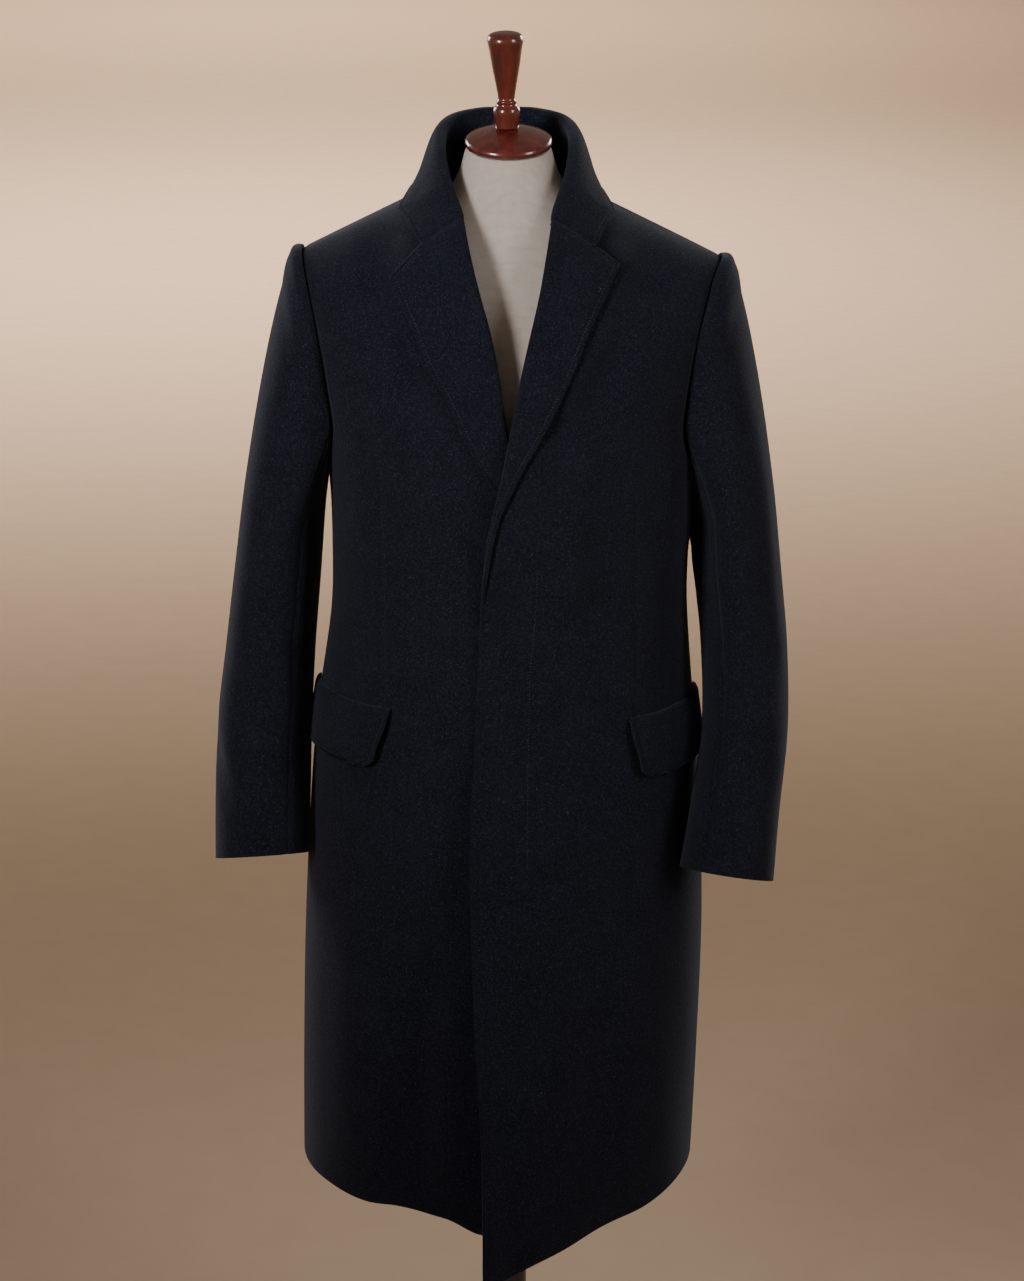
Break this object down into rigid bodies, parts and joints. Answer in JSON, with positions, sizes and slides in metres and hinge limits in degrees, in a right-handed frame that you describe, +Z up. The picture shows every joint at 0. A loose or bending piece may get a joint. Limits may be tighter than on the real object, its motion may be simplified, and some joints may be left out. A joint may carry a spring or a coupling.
{
  "type": "wool overcoat on a dress form",
  "caption": "Single-breasted long overcoat with notch lapels, flap pockets and set-in sleeves, hanging on a limbless dress form with a turned cap and finial on a pole stand.",
  "frame": {"origin": "on the floor under the centre of the round base, on the pole's axis", "axes": "+Z up the pole; -Y out of the coat's front; +X towards the wearer's left, whose front laps over"},
  "size_m": [0.6047, 0.4505, 1.6532],
  "materials": {
    "navy_wool": "heathered melton with a short brushed nap",
    "navy_wool_underside": "undercollar felt, matt",
    "cream_cloth": "smooth plain-weave cotton cover",
    "mahogany": "stained and polished, turned",
    "black_metal": "satin black paint"
  },
  "bodies": {
    "root": {"front_left": "navy_wool", "front_right": "navy_wool", "back_left": "navy_wool", "back_right": "navy_wool", "sleeve_top_left": "navy_wool", "sleeve_top_right": "navy_wool", "sleeve_under_left": "navy_wool", "sleeve_under_right": "navy_wool", "lapel_left": "navy_wool", "lapel_right": "navy_wool", "collar_leaf": "navy_wool", "collar_stand": "navy_wool_underside", "pocket_flap_left": "navy_wool", "pocket_flap_right": "navy_wool", "form_torso": "cream_cloth", "form_neck_cap": "mahogany", "form_finial": "mahogany", "form_pole": "black_metal", "form_base": "black_metal"}
  },
  "joints": []
}
